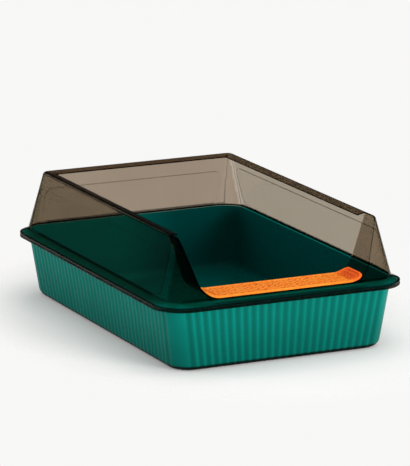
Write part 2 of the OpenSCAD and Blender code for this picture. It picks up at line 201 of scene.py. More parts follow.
class StageSettings(bpy.types.PropertyGroup):
    """Camera, lights and floor"""
    azimuth: FloatProperty(name="Azimuth", description="Camera's turn round the object from the front",
                           default=math.radians(-25.49), subtype="ANGLE", unit="ROTATION")
    elevation: angle("Elevation", "Camera's height above the horizon", 13.45)
    distance: length("Distance", "Camera's distance from the middle of the object", 5.55, 0.5, 20.0)
    aim_height: length("Aim Height", "Height that the camera looks at", 0.1341)
    focal: FloatProperty(name="Focal Length", description="Camera's focal length in millimetres",
                         default=321.3, min=20.0, max=600.0)
    floor: colour("Floor Colour", "Pale floor", (0.80, 0.80, 0.79))
    floor_lift: colour("Floor Lift", "Added to the floor where the camera sees it", (0.12, 0.12, 0.118))
    fade_start: length("Fade Start", "From the middle to where the floor begins to fade away", 0.24)
    fade_end: length("Fade End", "From the middle to where the floor has faded away", 0.36)
    backdrop: colour("Backdrop Colour", "White seen behind the object", (0.94, 0.937, 0.93))
    ambient: FloatProperty(name="Ambient", description="Strength of the light from all round",
                           default=0.55, min=0.0, max=5.0)
    mirrored: FloatProperty(name="Mirrored", description="Strength of the surroundings in reflections",
                            default=0.03, min=0.0, max=5.0)
    lamp_power: FloatProperty(name="Lamp Power", description="Power of the main soft light in watts",
                              default=26.0, min=0.0, max=500.0)


# ---------------------------------------------------------------- mesh helpers

def linked_object(name, bm):
    """Writes a bmesh into a new object at the origin."""
    mesh = bpy.data.meshes.new(name)
    bm.to_mesh(mesh)
    bm.free()
    piece = bpy.data.objects.new(name, mesh)
    bpy.context.scene.collection.objects.link(piece)
    return piece


def new_object(name, bm, material, smooth_angle=math.radians(35)):
    """Finished piece, smooth shaded with sharp edges where its faces turn."""
    for face in bm.faces:
        face.smooth = True
    for edge in bm.edges:
        if len(edge.link_faces) == 2:
            edge.smooth = edge.calc_face_angle(0.0) < smooth_angle
    piece = linked_object(name, bm)
    piece.data.materials.append(material)
    return piece


def verts_of(geom):
    """Vertices among what a bmesh operator returns."""
    return [g for g in geom if isinstance(g, bmesh.types.BMVert)]


def extrude_faces(bm, faces, vec):
    """Extrudes faces and moves what is new; returns the new vertices."""
    fresh = verts_of(bmesh.ops.extrude_face_region(bm, geom=faces)["geom"])
    bmesh.ops.translate(bm, verts=fresh, vec=vec)
    return fresh


def rounded_plate(bm, half_x, half_y, radius, steps):
    """Flat rectangle with rounded corners; returns its faces."""
    corners = bmesh.ops.create_grid(bm, x_segments=1, y_segments=1, size=1.0)["verts"]
    bmesh.ops.scale(bm, verts=corners, vec=(half_x, half_y, 1.0))
    kept = [f for v in corners for f in v.link_faces]
    made = bmesh.ops.bevel(bm, geom=corners, offset=radius, offset_type="OFFSET", affect="VERTICES",
                           segments=steps, profile=0.5, material=-1)["faces"]
    return list(dict.fromkeys(f for f in made + kept if f.is_valid))


def rounded_outline(bm, corner_steps, side_steps_x, side_steps_y):
    """Loop of edges round a unit rectangle with bevelled corners, and one station per vertex.

    A station says where its vertex stays on every later loop: a corner and an angle,
    or a side and a share of it.
    """
    radius = 0.2
    flat = 1.0 - radius
    bmesh.ops.create_grid(bm, x_segments=1, y_segments=1, size=1.0)
    bmesh.ops.bevel(bm, geom=bm.verts[:], offset=radius, offset_type="OFFSET", affect="VERTICES",
                    segments=corner_steps, profile=0.5, material=-1)
    long_edges = [e for e in bm.edges if e.calc_length() > 1.0]
    along_x = [e for e in long_edges if abs(e.verts[0].co.y - e.verts[1].co.y) < 1e-6]
    along_y = [e for e in long_edges if e not in along_x]
    bmesh.ops.delete(bm, geom=bm.faces[:], context="FACES_ONLY")
    for edges, steps in ((along_x, side_steps_x), (along_y, side_steps_y)):
        bmesh.ops.subdivide_edges(bm, edges=edges, cuts=steps - 1)
    layer = bm.verts.layers.int.new("station")
    bm.verts.layers.int.new("level")
    stations = []
    for vert in bm.verts:
        x, y = vert.co.x, vert.co.y
        vert[layer] = len(stations)
        if abs(x) > flat - 1e-5 and abs(y) > flat - 1e-5:
            sx, sy = math.copysign(1, x), math.copysign(1, y)
            stations.append(("corner", sx, sy, math.atan2(y - sy * flat, x - sx * flat)))
        elif abs(y) > abs(x):
            stations.append(("x", 0.0, math.copysign(1, y), x / flat))
        else:
            stations.append(("y", math.copysign(1, x), 0.0, y / flat))
    return stations


def corner_turn(where):
    """Angle from a corner's nearer end, for a station's angle anywhere round the plan."""
    up = abs(math.sin(where))
    return math.acos(min(1.0, up)) if up > 0.7 else math.asin(up)


def station_point(station, half_x, half_y, radius, z, groove=None):
    """Where a station lies on a rounded rectangle; groove gives how far it is set in."""
    kind, sx, sy, where = station
    if kind == "corner":
        reach = radius - (groove("corner", corner_turn(where) * radius) if groove else 0.0)
        return Vector((sx * (half_x - radius) + reach * math.cos(where),
                       sy * (half_y - radius) + reach * math.sin(where), z))
    depth = groove(kind, where) if groove else 0.0
    if kind == "x":
        return Vector((where * (half_x - radius), sy * (half_y - depth), z))
    return Vector((sx * (half_x - depth), where * (half_y - radius), z))


def drop_int_layers(bm):
    """Takes off the working numbers, so that the finished mesh holds none."""
    for layer in list(bm.verts.layers.int):
        bm.verts.layers.int.remove(layer)


def extrude_loop(bm, edges, stations, place):
    """Extrudes a loop of edges and puts every new vertex where place says; returns the new loop."""
    made = bmesh.ops.extrude_edge_only(bm, edges=edges)["geom"]
    fresh = set(verts_of(made))
    layer = bm.verts.layers.int["station"]
    for vert in fresh:
        vert.co = place(stations[vert[layer]])
    return [g for g in made if isinstance(g, bmesh.types.BMEdge) and fresh.issuperset(g.verts)]


def loft_loops(bm, stations, places):
    """Lofts the outline through a list of placing functions; returns the first and the last loop."""
    first = edges = bm.edges[:]
    station = bm.verts.layers.int["station"]
    level = bm.verts.layers.int["level"]
    for vert in bm.verts:
        vert.co = places[0](stations[vert[station]])
    for number, place in enumerate(places[1:], 1):
        edges = extrude_loop(bm, edges, stations, place)
        for edge in edges:
            for vert in edge.verts:
                vert[level] = number
    return first, edges


def arc(centre_in, centre_z, radius, start, end, steps):
    """Points (inset, z) of an arc between two angles in degrees."""
    points = []
    for i in range(steps + 1):
        a = math.radians(start + (end - start) * i / steps)
        points.append((centre_in + radius * math.cos(a), centre_z + radius * math.sin(a)))
    return points


def ease_step(low, high, value):
    """0 below low, 1 above high, with a smooth step between them."""
    part = max(0.0, min(1.0, (value - low) / (high - low)))
    return part * part * (3 - 2 * part)


def temporary(name, bm):
    """Object for a boolean, removed once the cut is made."""
    bmesh.ops.recalc_face_normals(bm, faces=bm.faces[:])
    return linked_object(name, bm)


def add_boolean(piece, tool, operation):
    """Puts a boolean on a piece; cut_mesh applies it."""
    modifier = piece.modifiers.new(tool.name, "BOOLEAN")
    modifier.operation = operation
    modifier.solver = "EXACT"
    modifier.object = tool


def cut_mesh(context, piece, tools, fewest_faces):
    """Bmesh of a piece after its booleans; the piece and its tools are removed."""
    context.view_layer.update()
    cut = piece.evaluated_get(context.evaluated_depsgraph_get())
    bm = bmesh.new()
    bm.from_mesh(cut.to_mesh())
    cut.to_mesh_clear()
    if len(bm.faces) < fewest_faces:
        raise RuntimeError(piece.name + " is lost after its cuts")
    for used in [piece] + tools:
        mesh = used.data
        bpy.data.objects.remove(used)
        bpy.data.meshes.remove(mesh)
    return bm


# ---------------------------------------------------------------- shared shader effects

def add_node(tree, kind, **settings):
    """New shader node of a kind, with its settings."""
    node = tree.nodes.new("ShaderNode" + kind)
    for key, value in settings.items():
        setattr(node, key, value)
    return node


def fill(socket, value):
    """Links a socket to another, or sets its default to a plain value."""
    if isinstance(value, bpy.types.NodeSocket):
        socket.id_data.links.new(value, socket)
    else:
        socket.default_value = value


def feed(node, **inputs):
    """Fills a node's inputs by name, with an underscore for each space; returns the node."""
    for label, value in inputs.items():
        fill(node.inputs[label.replace("_", " ")], value)
    return node


def maths(tree, operation, *values, clamp=False, kind="Math"):
    """First output of a math node on numbers or sockets."""
    node = add_node(tree, kind, operation=operation)
    if clamp:
        node.use_clamp = True
    for socket, value in zip(node.inputs, values):
        fill(socket, value)
    return next(s for s in node.outputs if s.enabled)


def map_range(tree, value, low, high, to_low=0.0, to_high=1.0, curve="SMOOTHSTEP"):
    """A value mapped from one range to another."""
    node = add_node(tree, "MapRange", interpolation_type=curve)
    feed(node, Value=value, From_Min=low, From_Max=high, To_Min=to_low, To_Max=to_high)
    return node.outputs["Result"]


def blend(tree, factor, first, second):
    """Mix of two colours, each a socket or a plain colour."""
    node = add_node(tree, "Mix", data_type="RGBA")
    first, second = (c if isinstance(c, bpy.types.NodeSocket) else (*c, 1.0) for c in (first, second))
    return feed(node, Factor=factor, A=first, B=second).outputs["Result"]


def mark(tree, name):
    """A piece's own attribute as a factor."""
    return add_node(tree, "Attribute", attribute_name=name).outputs["Fac"]


def object_place(tree):
    """Object coordinates."""
    return add_node(tree, "TexCoord").outputs["Object"]


def moulded_skin():
    """Fine unevenness of moulded plastic: a soft mask, a roughness and a height."""
    tree = bpy.data.node_groups.get("moulded_skin")
    if tree:
        return tree
    tree = bpy.data.node_groups.new("moulded_skin", "ShaderNodeTree")
    kind = "NodeSocketFloat"
    for label, default in (("Scale", 60.0), ("Roughness", 0.3), ("Spread", 0.06)):
        socket = tree.interface.new_socket(name=label, in_out="INPUT", socket_type=kind)
        socket.default_value = default
    for label in ("Mask", "Roughness", "Height"):
        tree.interface.new_socket(name=label, in_out="OUTPUT", socket_type=kind)
    given = tree.nodes.new("NodeGroupInput").outputs
    place = object_place(tree)
    broad = feed(add_node(tree, "TexNoise"), Vector=place, Scale=given["Scale"], Detail=3.0).outputs["Fac"]
    fine = feed(add_node(tree, "TexNoise"), Vector=place, Scale=900.0, Detail=2.0).outputs["Fac"]
    mask = map_range(tree, broad, 0.35, 0.65, curve="LINEAR")
    feed(tree.nodes.new("NodeGroupOutput"),
         Mask=mask,
         Roughness=maths(tree, "MULTIPLY_ADD", mask, given["Spread"], given["Roughness"]),
         Height=maths(tree, "MULTIPLY_ADD", maths(tree, "SUBTRACT", fine, 0.5), 0.25, broad))
    return tree


def skin_node(tree, scale, roughness, spread):
    """The moulded skin with a material's own values."""
    node = add_node(tree, "Group", node_tree=moulded_skin())
    return feed(node, Scale=scale, Roughness=roughness, Spread=spread)


def principled(name):
    """New material, its Principled shader and its node tree."""
    material = bpy.data.materials.new(name)
    material.use_nodes = True
    tree = material.node_tree
    shader = next(n for n in tree.nodes if n.type == "BSDF_PRINCIPLED")
    return material, shader, tree


def plastic(name, first, second, roughness, spread, scale, bump):
    """Moulded plastic with a fine skin; also returns the colour that varies softly between two."""
    material, shader, tree = principled(name)
    skin = skin_node(tree, scale, roughness, spread).outputs
    relief = feed(add_node(tree, "Bump"), Strength=bump, Distance=0.0002, Height=skin["Height"])
    feed(shader, Roughness=skin["Roughness"], Normal=relief.outputs["Normal"])
    return material, shader, tree, blend(tree, skin["Mask"], first, second)


# ---------------------------------------------------------------- pan

FLUTE_ROUNDNESS = 0.6
STEPS_PER_FLUTE = 8
SMALLEST_RADIUS = 0.004

# spans over which the teal plastic's painted light and painted shade fade in and out
LEFT_LIGHT_SPAN = (-0.03, 0.09)
FLOOR_LIGHT_SPAN = (0.004, 0.020)
FOOT_SHADE_SPAN = (0.0052, 0.0100)
LOW_SHADE_SPAN = (0.010, 0.095)
RIM_LIGHT_SPAN = (0.0105, 0.0130)


def flute_counts(pan):
    """Number of flutes along an end wall and along a side wall."""
    return [round((2 * half - 2 * pan.corner_radius) / pan.flute_pitch) for half in (HALF_W, HALF_D)]


def flute_depth_at(pan):
    """Function that gives the depth of the flutes at a station, as a share of the full depth."""
    count_x, count_y = flute_counts(pan)

    def groove(kind, where):
        if kind == "corner":
            count = 1
            turn = where / pan.flute_pitch
        else:
            count = count_x if kind == "x" else count_y
            turn = (where * 0.5 + 0.5) * count
        return (0.5 - 0.5 * math.cos(math.tau * turn)) ** FLUTE_ROUNDNESS if 0.0 < turn < count else 0.0
    return groove


def pan_loops(pan):
    """Placing functions from under the floor round the outside and the rim to the inner floor.

    Also the flutes' share of depth at each fluted loop, and the first loop of the inner side.
    """
    wall_radius = pan.corner_radius - pan.wall_inset
    slope = pan.rim_fall / FLANGE_WIDTH
    flute_high = PAN_TOP - pan.flute_high_gap
    groove_share = flute_depth_at(pan)
    loops = []
    depths = {}

    def wall(off, z, depth=0.0):
        groove = (lambda kind, where: depth * groove_share(kind, where)) if depth else None
        side_in = pan.wall_inset + (PAN_TOP - z) * math.tan(pan.side_draft)
        end_in = pan.wall_inset + (PAN_TOP - z) * math.tan(pan.end_draft)
        radius = max(wall_radius - off, SMALLEST_RADIUS)
        return lambda station: station_point(
            station, HALF_W - side_in - off, HALF_D - end_in - off, radius, z, groove)

    def rim(inset, z):
        return lambda station: station_point(
            station, HALF_W - inset, HALF_D - inset, pan.corner_radius - inset, z)

    def rim_surface(inset):
        return PAN_TOP - pan.rim_fall + inset * slope

    def fluted(off, z, turn):
        depths[len(loops)] = math.sin(turn * math.pi / 2)
        loops.append(wall(off, z, pan.flute_depth * depths[len(loops)]))

    # foot ring, bottom bend and fluted wall
    bottom = pan.bottom_radius
    loops.append(wall(bottom + pan.foot_width + pan.foot_height, pan.foot_height))
    loops.append(wall(bottom + pan.foot_width, 0.0))
    bend_steps, plain_share = 12, 0.45
    for k, (off, z) in enumerate(arc(bottom, bottom, bottom, 270, 180, bend_steps)):
        fluted(off, z, max(0.0, (k / bend_steps - plain_share) / (1 - plain_share)))
    middle = flute_high - bottom - pan.flute_fade
    for k in range(1, 4):
        fluted(0.0, bottom + middle * k / 4, 1.0)
    for k in range(6, -1, -1):
        fluted(0.0, flute_high - pan.flute_fade * k / 6, k / 6)

    # underside of the rim, its turned-down edge and its top
    thick = pan.wall_thickness
    fillet = 0.0015
    ease = 0.0003
    edge_drop = 0.0032
    crown_in = 0.0158
    rim_in = GUARD_GROOVE + GUARD_WALL + PIECE_GAP
    drop = thick * math.hypot(1.0, slope)
    edge_in = rim_in + thick * 0.8
    rim_top = rim_surface(rim_in)
    under_wall = rim_surface(pan.wall_inset) - drop
    low_edge = rim_top - edge_drop
    loops.append(wall(0.0, under_wall - fillet))
    for off, z in arc(-fillet, under_wall - fillet, fillet, 0, 90, 3)[1:]:
        loops.append(wall(off, z - fillet * slope * 0.3))
    loops += [
        rim(edge_in, rim_surface(edge_in) - drop),
        rim(edge_in, low_edge + ease),
        rim(edge_in - ease, low_edge),
        rim(rim_in + ease, low_edge),
        rim(rim_in, low_edge + ease),
        rim(rim_in, rim_top - 2 * ease),
        rim(rim_in + 0.0004, rim_top + 0.0001),
        rim(crown_in - 4 * ease, PAN_TOP - 0.0002),
        rim(crown_in, PAN_TOP),
    ]

    # inner side and floor
    inner_start = len(loops) + 1
    inner = thick / math.cos(pan.side_draft)
    rim_round = 0.0024
    loops += [wall(off, z) for off, z in arc(inner, PAN_TOP - rim_round, rim_round, 90, 0, 6)]
    floor_z = pan.foot_height + thick
    bend = pan.floor_radius
    top, low = PAN_TOP - rim_round, floor_z + bend
    loops += [wall(inner, top + (low - top) * k / 4) for k in (1, 2, 3)]
    loops += [wall(off, z) for off, z in arc(inner + bend, low, bend, 180, 270, 10)]
    loops.append(wall(inner + 2 * bend, floor_z))
    return loops, depths, inner_start


def mark_pan(pan, bm, stations, depths, inner_start):
    """Vertex attributes by which the teal plastic mixes in its painted shade and painted light."""
    hollow_shade, inside, rim, contact_shade = [
        bm.verts.layers.float.new(name) for name in ("hollow_shade", "inside", "rim", "contact_shade")]
    station_layer = bm.verts.layers.int["station"]
    level_layer = bm.verts.layers.int["level"]
    groove_share = flute_depth_at(pan)
    wall_radius = pan.corner_radius - pan.wall_inset
    rim_start = max(depths) + 4
    for vert in bm.verts:
        x, y, z = vert.co
        kind, _, _, where = stations[vert[station_layer]]
        level = vert[level_layer]
        corner_shade = 0.0
        # painted shade, strongest in the middle of each corner
        if kind == "corner":
            corner_shade = pan.corner_shade * abs(math.sin(2 * where))
            where = corner_turn(where) * wall_radius
        # painted shade in the flutes' hollows, as deep as the flute
        if level in depths:
            vert[hollow_shade] = depths[level] * groove_share(kind, where)
        # painted shade inside the pan, lessened by painted light on the left half and on the floor
        if level >= inner_start:
            left = 1.0 - ease_step(*LEFT_LIGHT_SPAN, x)
            low = 1.0 - ease_step(*FLOOR_LIGHT_SPAN, z)
            vert[inside] = 1.0 - pan.inside_left_light * left - pan.pan_floor_light * low
            continue
        # painted contact shadow at the foot, painted shade low on the wall and at the corners
        foot_shade = 1.0 - ease_step(*FOOT_SHADE_SPAN, z)
        wall_shade = pan.low_shade * (1.0 - ease_step(*LOW_SHADE_SPAN, z))
        vert[contact_shade] = max(foot_shade, wall_shade + corner_shade)
        # painted light on the rim under the guard's flange, strongest at the corners
        if level >= rim_start:
            at_corner = ease_step(0.6, 0.95, abs(x) / HALF_W) * ease_step(0.7, 0.95, abs(y) / HALF_D)
            covered = 1.0 - ease_step(*RIM_LIGHT_SPAN, min(HALF_W - abs(x), HALF_D - abs(y)))
            vert[rim] = covered * (0.55 + 0.45 * at_corner)


def teal_material(pan):
    """Teal plastic with painted shade in the flutes, towards its foot, at its corners and inside the pan,
    and painted light on the rim under the guard and on the inside's left half and floor.
    """
    material, shader, tree, shade = plastic(
        "teal_plastic", pan.body, pan.deep, roughness=0.26, spread=0.06, scale=14.0, bump=0.10)
    for name in ("hollow_shade", "inside", "rim", "contact_shade"):
        shade = blend(tree, mark(tree, name), shade, getattr(pan, name))
    feed(shader, Base_Color=shade, Specular_IOR_Level=0.05)
    return material


class LITTERBOX_OT_pan(bpy.types.Operator):
    """Fluted pan with its sloping rim, foot ring and rounded floor"""
    bl_idname = "litterbox.pan"
    bl_label = "Fluted Pan"

    def execute(self, context):
        pan = context.scene.litter_pan
        bm = bmesh.new()
        count_x, count_y = flute_counts(pan)
        stations = rounded_outline(bm, corner_steps=44, side_steps_x=count_x * STEPS_PER_FLUTE,
                                   side_steps_y=count_y * STEPS_PER_FLUTE)
        loops, depths, inner_start = pan_loops(pan)
        for edges in loft_loops(bm, stations, loops):
            bmesh.ops.edgeloop_fill(bm, edges=edges)
        bmesh.ops.recalc_face_normals(bm, faces=bm.faces[:])
        mark_pan(pan, bm, stations, depths, inner_start)
        drop_int_layers(bm)
        piece = new_object("pan_shell", bm, teal_material(pan))
        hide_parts("litter_pan")
        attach(piece, "pan")
        return {"FINISHED"}


# ---------------------------------------------------------------- guard

# how far a cutting shape reaches past what it cuts
CUT_REACH = 0.005


def guard_levels(guard):
    """Heights of the flange's inner edge, its outer edge and the skirt's lower edge."""
    flange_z = GUARD_TOP - guard.height
    edge_z = flange_z - guard.rim_fall
    return flange_z, edge_z, edge_z - guard.skirt_height


def wall_insets(guard, place):
    """How far in a place lies from the outside of the side walls and of the end walls, at its height."""
    part = (place.z - GUARD_TOP + guard.height) / guard.height
    side_in = HALF_W - guard.flange_width - guard.side_lean * part - abs(place.x)
    end_in = HALF_D - guard.flange_width - guard.end_lean * part - abs(place.y)
    return side_in, end_in


def guard_wall(guard, z, extra):
    """Placing function of the leaning wall's surface at a height, set in by extra."""
    flange_z = GUARD_TOP - guard.height
    part = (z - flange_z) / guard.height
    radius = (guard.corner_radius - guard.flange_width) * (1 - part) + guard.top_corner_radius * part
    inset = guard.flange_width + extra
    return lambda station: station_point(
        station, HALF_W - inset - guard.side_lean * part, HALF_D - inset - guard.end_lean * part,
        max(radius - extra, 0.001), z)


def guard_loops(guard):
    """Placing functions of the closed section: up the outside, over the lip and down the inside."""
    flange_z, edge_z, skirt_z = guard_levels(guard)
    slope = guard.rim_fall / guard.flange_width
    t, groove = guard.wall_thickness, guard.groove_depth
    bead_z = skirt_z + guard.bead_height
    low_edge = edge_z - guard.edge_height
    bend_z = GUARD_TOP - guard.bend_radius
    lip_z = GUARD_TOP - guard.lip_drop
    foot = guard.flange_width
    ease = 0.0005

    def even(inset, z):
        return lambda station: station_point(
            station, HALF_W - inset, HALF_D - inset, guard.corner_radius - inset, z)

    def wall(extra, z):
        return guard_wall(guard, z, extra)

    def on_flange(inset, up=0.0):
        return even(inset, edge_z + inset * slope + up)

    def bend(kind, *curve):
        return [kind(inset, z) for inset, z in arc(*curve)]

    # skirt with its bead, the flange's free edge and the flange
    loops = bend(even, ease, skirt_z + ease, ease, 270, 180, 3)
    loops += bend(even, ease, bead_z - ease, ease, 180, 90, 3)
    loops += [even(groove, bead_z), even(groove, low_edge)]
    loops += bend(even, ease, low_edge + ease, ease, 270, 180, 3)
    loops += bend(even, ease, edge_z + ease * slope - ease * 0.4, ease, 170, 100, 3)
    loops += [on_flange(guard.crest), on_flange(foot - 0.0026), on_flange(foot - 0.0012, 0.0002)]

    # small fillet at the root of the wall, then the wall, the bend and the lip
    loops.append(even(foot - 0.0003, flange_z + 0.0005))
    loops += [wall(0.0, flange_z + 0.0014), wall(0.0, flange_z + 0.0028)]
    loops += [wall(0.0, flange_z + guard.height * k / 4) for k in (1, 2, 3)]
    outer, inner = guard.bend_radius, guard.bend_radius - t
    tip = guard.lip_width - ease
    loops += bend(wall, outer, bend_z, outer, 180, 82, 8)
    loops += bend(wall, tip, lip_z, ease, 80, 0, 3)
    loops += bend(wall, tip, lip_z - t + 2 * ease, ease, 0, -90, 3)
    loops += bend(wall, outer, bend_z, inner, 82, 180, 8)

    # inside of the wall and underside of the flange, down to the skirt
    loops += [wall(t, flange_z + guard.height * k / 4) for k in (3, 2, 1)]
    loops.append(wall(t, flange_z - t))
    under = groove + t
    loops += [on_flange(under + 0.0006, -t), on_flange(under, -t - 0.0006)]
    loops += [even(under, skirt_z + ease), even(under - ease, skirt_z)]
    return loops


def guard_shell(guard):
    """Whole guard before the entry is cut."""
    bm = bmesh.new()
    stations = rounded_outline(bm, corner_steps=20, side_steps_x=36, side_steps_y=16)
    first, last = loft_loops(bm, stations, guard_loops(guard))
    bmesh.ops.bridge_loops(bm, edges=first + last)
    return temporary("cut_shell", bm)


def guard_core(guard):
    """Solid bounded by the middle of the wall."""
    bm = bmesh.new()
    stations = rounded_outline(bm, corner_steps=20, side_steps_x=12, side_steps_y=16)
    middle = guard.wall_thickness / 2
    radius = guard.bend_radius
    places = [guard_wall(guard, GUARD_TOP - guard.height - 2 * guard.wall_thickness, middle)]
    places += [guard_wall(guard, z, inset)
               for inset, z in arc(radius, GUARD_TOP - radius, radius - middle, 180, 90, 8)]
    for edges in loft_loops(bm, stations, places):
        bmesh.ops.edgeloop_fill(bm, edges=edges)
    return temporary("cut_core", bm)


def entry_solid(guard, name, grow, front, back):
    """The entry's front view, grown outwards, as a solid between two depths."""
    bm = bmesh.new()
    slope = guard.entry_slope
    radius = guard.entry_radius + grow
    centre = Vector((guard.entry_flat / 2, front,
                     GUARD_TOP - guard.height + guard.ledge_rise + guard.entry_radius))
    start = bmesh.ops.create_vert(bm, co=centre - Vector((0, 0, radius)))["vert"][0]
    turned = bmesh.ops.spin(bm, geom=[start], cent=centre, axis=(0, -1, 0), angle=math.pi / 2 - slope,
                            steps=24, use_duplicate=False)["geom_last"]
    tip = verts_of(turned)[0]
    rise = GUARD_TOP + CUT_REACH - tip.co.z
    top = bmesh.ops.extrude_vert_indiv(bm, verts=[tip])["verts"][0]
    top.co += Vector((rise * math.tan(slope), 0, rise))
    for end in (start, top):
        middle = bmesh.ops.extrude_vert_indiv(bm, verts=[end])["verts"][0]
        middle.co.x = 0.0
    bmesh.ops.mirror(bm, geom=bm.verts[:] + bm.edges[:], axis="X", merge_dist=1e-6)
    bmesh.ops.edgeloop_fill(bm, edges=bm.edges[:])
    extrude_faces(bm, bm.faces[:], (0, back - front, 0))
    return temporary(name, bm)


def raised_panel(guard, name, half_l, drop, lean, foot, turn, low_side, high_side):
    """Panel on a leaning wall, between two depths; foot is how far out the wall's foot lies."""
    slope = math.atan(lean / guard.height)
    low = guard.panel_margin / math.cos(slope)
    half_h = ((guard.height - drop) / math.cos(slope) - low) / 2
    bm = bmesh.new()
    rounded_plate(bm, half_l, half_h, guard.panel_radius, 12)
    bmesh.ops.translate(bm, verts=bm.verts[:], vec=(0, low + half_h, low_side))
    extrude_faces(bm, bm.faces[:], (0, 0, high_side - low_side))
    place = (Matrix.Rotation(turn, 4, "Z") @ Matrix.Translation((0, -foot, GUARD_TOP - guard.height))
             @ Matrix.Rotation(math.pi / 2 - slope, 4, "X"))
    bmesh.ops.transform(bm, matrix=place, verts=bm.verts[:])
    return temporary(name, bm)


def entry_distance(guard, x, z):
    """Distance of a point from the entry's side or lower corner."""
    centre_z = GUARD_TOP - guard.height + guard.ledge_rise + guard.entry_radius
    tangent_z = centre_z - guard.entry_radius * math.sin(guard.entry_slope)
    across = abs(x) - guard.entry_flat / 2
    if z < tangent_z:
        return abs(math.hypot(max(across, 0.0), centre_z - z) - guard.entry_radius)
    reach = guard.entry_radius * math.cos(guard.entry_slope) + (z - tangent_z) * math.tan(guard.entry_slope)
    return abs(across - reach) * math.cos(guard.entry_slope)


# painted shade: how dark the smoky plastic is painted on each kind of edge, as a share
DARK_RETURN = 1.0
DARK_LIP = 0.92
DARK_LEFT_LIP = 0.6
DARK_FOOT = 0.75
DARK_PANEL_STEP = 0.6
DARK_FRONT_STRIP = 0.9
DARK_BEAD = 0.85
DARK_SKIRT = 0.95


def middle_share(x):
    """1 over the middle of the front, fading to 0 before the corners."""
    return 1.0 - ease_step(0.55, 0.80, abs(x) / HALF_W)


def painted_edge_shade(guard, place, normal, back):
    """Painted shade of a face of the guard: near 1 on edges and on what runs back from the entry, less
    where a face turns left, a painted highlight.
    """
    flange_z, edge_z, skirt_z = guard_levels(guard)
    wall = guard.wall_thickness
    up = place.z - flange_z
    side_inset, end_inset = wall_insets(guard, place)
    inset = min(side_inset, end_inset)
    bend_z = GUARD_TOP - guard.bend_radius
    lip_low = GUARD_TOP - guard.lip_drop - wall
    # painted highlight: the skirt and the bead are lighter where they face left
    facing_left = ease_step(0.4, 1.0, -normal.x)
    if up > 0.002 and place.x < -guard.entry_flat / 2 and place.y < back + 0.001 \
            and end_inset > 1.5 * wall \
            and entry_distance(guard, place.x, place.z) < guard.ledge_thickness + 0.0005:
        return DARK_RETURN
    if lip_low - 0.0003 < place.z < lip_low + wall + 0.0003 and abs(inset - guard.lip_width) < 0.0012:
        return DARK_LIP
    if place.x < 0 and place.z > bend_z and side_inset < inset + 0.0001:
        return DARK_LEFT_LIP
    if -0.0002 < up < 0.0030 and abs(inset) < 0.0030:
        return DARK_FOOT
    if up > 0.002 and place.y > back and place.z < bend_z - 0.002 \
            and any(0.0001 - guard.panel_out < depth < -0.0001 for depth in (inset, inset - wall)):
        return DARK_PANEL_STEP
    skirt = place.z < edge_z - guard.edge_height * 0.5
    if place.y < guard.crest - HALF_D and not skirt:
        return DARK_FRONT_STRIP * middle_share(place.x)
    if skirt and place.z < skirt_z + guard.bead_height and abs(normal.z) < 0.8:
        return DARK_BEAD - 0.75 * facing_left
    if skirt:
        return DARK_SKIRT - 0.65 * facing_left
    return 0.0


def mark_guard(guard, bm, back):
    """Face attributes by which the smoky plastic mixes its tints, its painted light and its painted shade.
    """
    edge_shade, clear, flange, right_side_light = [
        bm.faces.layers.float.new(name) for name in ("edge_shade", "clear", "flange", "right_side_light")]
    flange_z = guard_levels(guard)[0]
    skin_low, skin_high = -0.0015, 0.0045
    for face in bm.faces:
        place = face.calc_center_median()
        side_inset, end_inset = wall_insets(guard, place)
        face[edge_shade] = painted_edge_shade(guard, place, face.normal, back)
        if place.z <= flange_z + 0.0006:
            face[flange] = 1.0
            # painted light: the middle of the flange's front is tinted clearer
            if place.y < guard.flange_width - HALF_D:
                face[clear] = 0.6 * middle_share(place.x)
            continue
        on_side = skin_low < side_inset < skin_high
        # painted light: the left wall is tinted clearer
        if place.x < 0:
            face[clear] = float(on_side)
            continue
        # painted light: the right half's walls, front and return are tinted paler
        on_front = place.y < 0 and skin_low < end_inset < skin_high
        on_return = place.y < back + 0.001 and side_inset > 0.006
        face[right_side_light] = float(on_side or on_front or on_return)


def near_corners(tree):
    """1 at the four corners of the plan, fading to 0 along the straight sides."""
    split = feed(add_node(tree, "SeparateXYZ"), Vector=object_place(tree))
    shares = [map_range(tree, maths(tree, "ABSOLUTE", split.outputs[axis]), 0.72 * half, 0.96 * half)
              for axis, half in (("X", HALF_W), ("Y", HALF_D))]
    return maths(tree, "MULTIPLY", *shares)


def smoky_material(guard):
    """Clear smoky plastic; a film of moulding haze varies its roughness a little. Its tint carries painted
    light on the left wall, the flange and the right half, and painted shade on its edges.
    """
    material, shader, tree = principled("smoky_clear_plastic")
    skin = skin_node(tree, scale=9.0, roughness=0.015, spread=0.02).outputs
    tint = blend(tree, skin["Mask"], guard.tint, guard.tint_dark)
    tint = blend(tree, mark(tree, "right_side_light"), tint, guard.right_side_light)
    # painted light: clearer tint on the left wall and on the flange, most at its corners
    clear = maths(tree, "MULTIPLY_ADD", mark(tree, "flange"), near_corners(tree), mark(tree, "clear"))
    tint = blend(tree, clear, tint, guard.clear)
    # painted shade on the guard's edges
    tint = blend(tree, mark(tree, "edge_shade"), tint, guard.edge_shade_tint)
    feed(shader, Base_Color=tint, Roughness=skin["Roughness"])
    feed(shader, Metallic=0.0, Transmission_Weight=1.0, IOR=1.15)
    absorb = feed(add_node(tree, "VolumeAbsorption"), Color=(*guard.depth_tint, 1.0), Density=guard.density)
    output = next(n for n in tree.nodes if n.type == "OUTPUT_MATERIAL")
    feed(output, Volume=absorb.outputs["Volume"])
    return material


